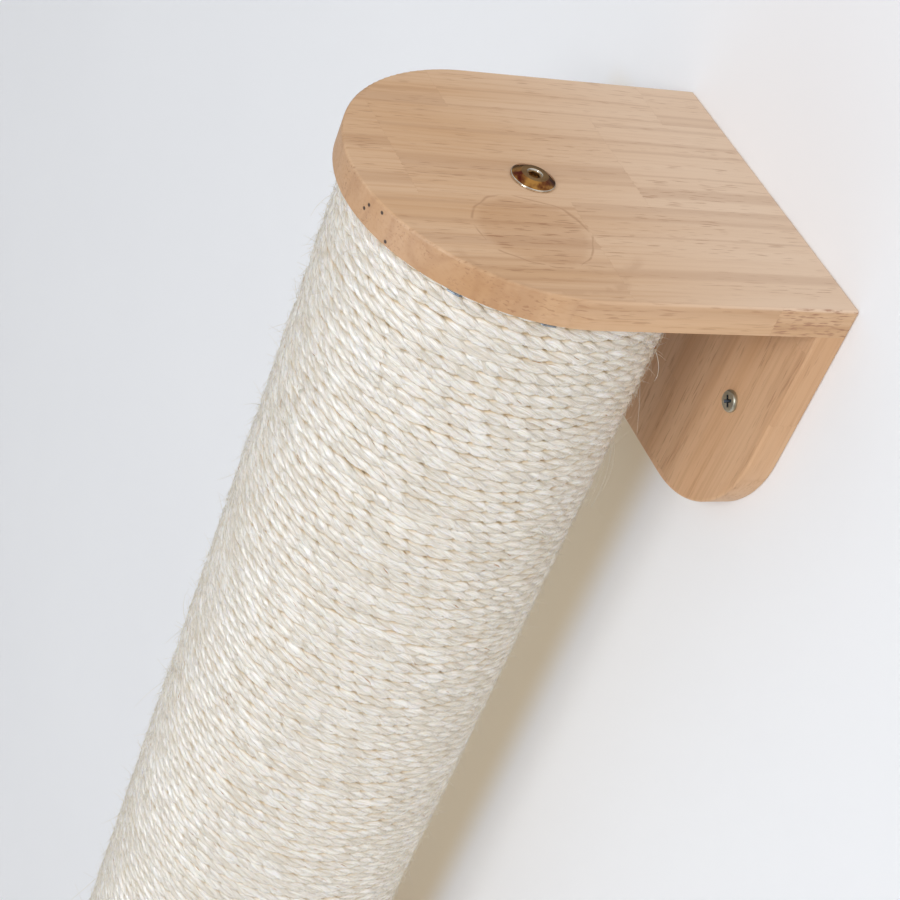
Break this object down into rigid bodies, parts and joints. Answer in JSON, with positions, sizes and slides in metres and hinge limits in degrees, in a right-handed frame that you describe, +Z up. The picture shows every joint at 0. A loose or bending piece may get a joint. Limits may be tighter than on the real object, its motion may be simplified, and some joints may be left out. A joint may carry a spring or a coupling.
{
  "type": "wall-mounted cat climbing post",
  "caption": "Upright sisal-rope climbing and scratching post for cats, held off the wall between wooden L-shaped brackets that are screwed to it.",
  "frame": {"origin": "on the wall, in the middle of the wall screws' rectangle, halfway up the post", "axes": "+Z up along the post, +Y into the wall, -Y towards the room, +X to the right seen from the room"},
  "size_m": [0.14, 0.211, 0.6048],
  "materials": {
    "rubberwood": "clear satin lacquer on jointed rubberwood",
    "dowel_wood": "plain beech",
    "plywood": "bare plywood",
    "kraft_tube": "bare spiral-wound kraft paper",
    "sisal": "bleached three-strand sisal rope with loose fibres",
    "yellow_zinc": "polished yellow zinc plate",
    "grey_zinc": "grey zinc plate",
    "insert_steel": "bright zinc plate",
    "brad_steel": "bright wire"
  },
  "bodies": {
    "root": {"upper_top_plate": "rubberwood", "upper_back_plate": "rubberwood", "lower_base_plate": "rubberwood", "lower_back_plate": "rubberwood", "upper_dowels": "dowel_wood", "lower_dowels": "dowel_wood", "upper_end_disc": "plywood", "lower_end_disc": "plywood", "post_tube": "kraft_tube", "sisal_rope_turns": "sisal", "sisal_rope_wrap": "sisal", "upper_connector_bolt": "yellow_zinc", "lower_connector_bolt": "yellow_zinc", "upper_wall_screws": "grey_zinc", "lower_wall_screws": "grey_zinc", "upper_insert_nut": "insert_steel", "lower_insert_nut": "insert_steel", "upper_disc_brads": "brad_steel", "lower_disc_brads": "brad_steel"}
  },
  "joints": []
}
